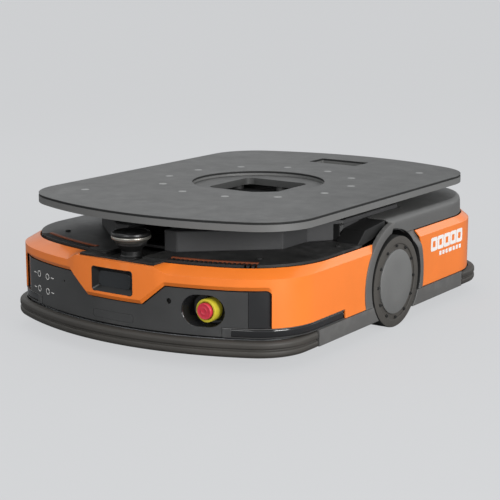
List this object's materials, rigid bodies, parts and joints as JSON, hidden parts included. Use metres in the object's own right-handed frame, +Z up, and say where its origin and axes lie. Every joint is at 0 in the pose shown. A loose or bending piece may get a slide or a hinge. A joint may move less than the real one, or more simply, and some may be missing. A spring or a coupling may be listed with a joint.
{
  "type": "mobile robot",
  "caption": "Low flat transport robot with side drive wheels, swivel casters, bowed bumpers and a rounded load deck that rises on lead screws.",
  "frame": {"origin": "on the floor, midway between the two drive wheels, under the middle of the deck", "axes": "+Z up, -Y the front with the scanner and fascia, +X the side with the emergency stop"},
  "size_m": [0.65, 0.96, 0.258],
  "materials": {
    "frame_steel": "matt powder coat",
    "housing_black": "satin black moulding",
    "cover_black": "satin gloss black moulding",
    "cover_grey": "fine textured dark grey moulding",
    "shell_orange": "satin orange moulding",
    "fascia_gloss": "dark grey satin gloss moulding",
    "bumper_rubber": "warm dark grey rubber",
    "deck_grey": "fine textured dark grey powder coat",
    "screw_steel": "zinc plated steel",
    "screw_black": "black oxide steel",
    "bare_aluminium": "machined aluminium",
    "ground_steel": "ground and hardened steel",
    "motor_black": "black motor enamel",
    "rim_grey": "warm dark grey paint",
    "tyre_rubber": "solid polyurethane, matt",
    "hub_grey": "grey satin paint",
    "caster_rubber": "black polyurethane",
    "lidar_black": "black sensor housing",
    "lidar_dark_window": "smoked infrared window",
    "camera_glass": "smoked sensor window",
    "cup_black": "matt black moulding",
    "estop_yellow": "yellow moulding",
    "estop_red": "red moulding",
    "button_grey": "dark push button",
    "battery_case": "blue grey case",
    "control_case": "anodised heat sink case",
    "copper_pad": "bare copper alloy contact"
  },
  "bodies": {
    "chassis": {"base_frame": "frame_steel", "wheel_housings": "housing_black", "front_cover": "cover_black", "rear_cover": "cover_grey", "front_shell": "shell_orange", "rear_shell": "shell_orange", "front_fascia": "fascia_gloss", "side_sills": "cover_grey", "arch_trims": "cover_grey", "front_lips": "fascia_gloss", "bumper_beams": "bare_aluminium", "lidar_base": "lidar_black", "lidar_window": "lidar_dark_window", "camera_window": "camera_glass", "estop_cup": "cup_black", "estop_collar": "estop_yellow", "caster_mounts": "bare_aluminium", "camera_well": "housing_black", "lift_motors": "motor_black", "battery_pack": "battery_case", "control_box": "control_case", "deck_camera": "lidar_black", "charge_contacts": "copper_pad", "lift_posts": "ground_steel", "drive_posts": "ground_steel", "cover_screws": "screw_black", "left_springs": "screw_steel", "right_springs": "screw_steel"},
    "deck": {"deck_plate": "deck_grey", "deck_inserts": "screw_steel", "lift_table": "deck_grey", "lift_skirt": "housing_black"},
    "front_lift_screw": {"front_lift_screw": "ground_steel"},
    "rear_lift_screw": {"rear_lift_screw": "ground_steel"},
    "left_drive": {"left_carriage": "bare_aluminium", "left_motor": "motor_black"},
    "right_drive": {"right_carriage": "bare_aluminium", "right_motor": "motor_black"},
    "left_wheel": {"left_rim": "rim_grey", "left_tyre": "tyre_rubber", "left_hub_cap": "hub_grey"},
    "right_wheel": {"right_rim": "rim_grey", "right_tyre": "tyre_rubber", "right_hub_cap": "hub_grey"},
    "front_bumper": {"front_bumper": "bumper_rubber"},
    "rear_bumper": {"rear_bumper": "bumper_rubber"},
    "lidar_rotor": {"lidar_rotor": "motor_black"},
    "estop_button": {"estop_button": "estop_red"},
    "start_button": {"start_button": "button_grey"},
    "stop_button": {"stop_button": "button_grey"},
    "reset_button": {"reset_button": "button_grey"},
    "mode_button": {"mode_button": "button_grey"},
    "front_left_fork": {"front_left_fork": "bare_aluminium"},
    "front_left_caster": {"front_left_caster": "caster_rubber"},
    "front_right_fork": {"front_right_fork": "bare_aluminium"},
    "front_right_caster": {"front_right_caster": "caster_rubber"},
    "rear_left_fork": {"rear_left_fork": "bare_aluminium"},
    "rear_left_caster": {"rear_left_caster": "caster_rubber"},
    "rear_right_fork": {"rear_right_fork": "bare_aluminium"},
    "rear_right_caster": {"rear_right_caster": "caster_rubber"}
  },
  "joints": [
    {"name": "deck_lift", "type": "slide", "parent": "chassis", "child": "deck", "axis": [0, 0, 1], "range_m": [0, 0.06]},
    {"name": "front_lift_screw_spin", "type": "hinge", "parent": "chassis", "child": "front_lift_screw", "pos_m": [0, -0.09, 0.1], "axis": [0, 0, 1], "range_deg": [0, 1081]},
    {"name": "rear_lift_screw_spin", "type": "hinge", "parent": "chassis", "child": "rear_lift_screw", "pos_m": [0, 0.09, 0.1], "axis": [0, 0, 1], "range_deg": [0, 1081]},
    {"name": "left_suspension", "type": "slide", "parent": "chassis", "child": "left_drive", "axis": [0, 0, 1], "range_m": [-0.004, 0.008], "stiffness_N_per_m": 20000, "springref_m": -0.01, "deforming": ["left_springs"]},
    {"name": "left_wheel_spin", "type": "hinge", "parent": "left_drive", "child": "left_wheel", "pos_m": [-0.293, 0, 0.09], "axis": [1, 0, 0], "continuous": true},
    {"name": "right_suspension", "type": "slide", "parent": "chassis", "child": "right_drive", "axis": [0, 0, 1], "range_m": [-0.004, 0.008], "stiffness_N_per_m": 20000, "springref_m": -0.01, "deforming": ["right_springs"]},
    {"name": "right_wheel_spin", "type": "hinge", "parent": "right_drive", "child": "right_wheel", "pos_m": [0.293, 0, 0.09], "axis": [1, 0, 0], "continuous": true},
    {"name": "front_left_swivel", "type": "hinge", "parent": "chassis", "child": "front_left_fork", "pos_m": [-0.212, -0.328, 0.09], "axis": [0, 0, 1], "continuous": true},
    {"name": "front_left_roll", "type": "hinge", "parent": "front_left_fork", "child": "front_left_caster", "pos_m": [-0.212, -0.304, 0.0375], "axis": [1, 0, 0], "continuous": true},
    {"name": "front_right_swivel", "type": "hinge", "parent": "chassis", "child": "front_right_fork", "pos_m": [0.212, -0.328, 0.09], "axis": [0, 0, 1], "continuous": true},
    {"name": "front_right_roll", "type": "hinge", "parent": "front_right_fork", "child": "front_right_caster", "pos_m": [0.212, -0.304, 0.0375], "axis": [1, 0, 0], "continuous": true},
    {"name": "rear_left_swivel", "type": "hinge", "parent": "chassis", "child": "rear_left_fork", "pos_m": [-0.212, 0.328, 0.09], "axis": [0, 0, 1], "continuous": true},
    {"name": "rear_left_roll", "type": "hinge", "parent": "rear_left_fork", "child": "rear_left_caster", "pos_m": [-0.212, 0.352, 0.0375], "axis": [1, 0, 0], "continuous": true},
    {"name": "rear_right_swivel", "type": "hinge", "parent": "chassis", "child": "rear_right_fork", "pos_m": [0.212, 0.328, 0.09], "axis": [0, 0, 1], "continuous": true},
    {"name": "rear_right_roll", "type": "hinge", "parent": "rear_right_fork", "child": "rear_right_caster", "pos_m": [0.212, 0.352, 0.0375], "axis": [1, 0, 0], "continuous": true},
    {"name": "front_bumper_press", "type": "slide", "parent": "chassis", "child": "front_bumper", "axis": [0, 1, 0], "range_m": [0, 0.003], "stiffness_N_per_m": 3000},
    {"name": "rear_bumper_press", "type": "slide", "parent": "chassis", "child": "rear_bumper", "axis": [0, -1, 0], "range_m": [0, 0.003], "stiffness_N_per_m": 3000},
    {"name": "lidar_spin", "type": "hinge", "parent": "chassis", "child": "lidar_rotor", "pos_m": [0, -0.412, 0.209], "axis": [0, 0, 1], "continuous": true},
    {"name": "estop_press", "type": "slide", "parent": "chassis", "child": "estop_button", "axis": [0, 1, 0], "range_m": [0, 0.004], "stiffness_N_per_m": 1500},
    {"name": "start_button_press", "type": "slide", "parent": "chassis", "child": "start_button", "axis": [0, 1, 0], "range_m": [0, 0.0015], "stiffness_N_per_m": 1500},
    {"name": "stop_button_press", "type": "slide", "parent": "chassis", "child": "stop_button", "axis": [0, 1, 0], "range_m": [0, 0.0015], "stiffness_N_per_m": 1500},
    {"name": "reset_button_press", "type": "slide", "parent": "chassis", "child": "reset_button", "axis": [0, 1, 0], "range_m": [0, 0.0015], "stiffness_N_per_m": 1500},
    {"name": "mode_button_press", "type": "slide", "parent": "chassis", "child": "mode_button", "axis": [0, 1, 0], "range_m": [0, 0.0015], "stiffness_N_per_m": 1500}
  ],
  "couplings": [
    {"joint": "front_lift_screw_spin", "follows": "deck_lift", "rad_per_m": 314.16},
    {"joint": "rear_lift_screw_spin", "follows": "deck_lift", "rad_per_m": 314.16}
  ]
}
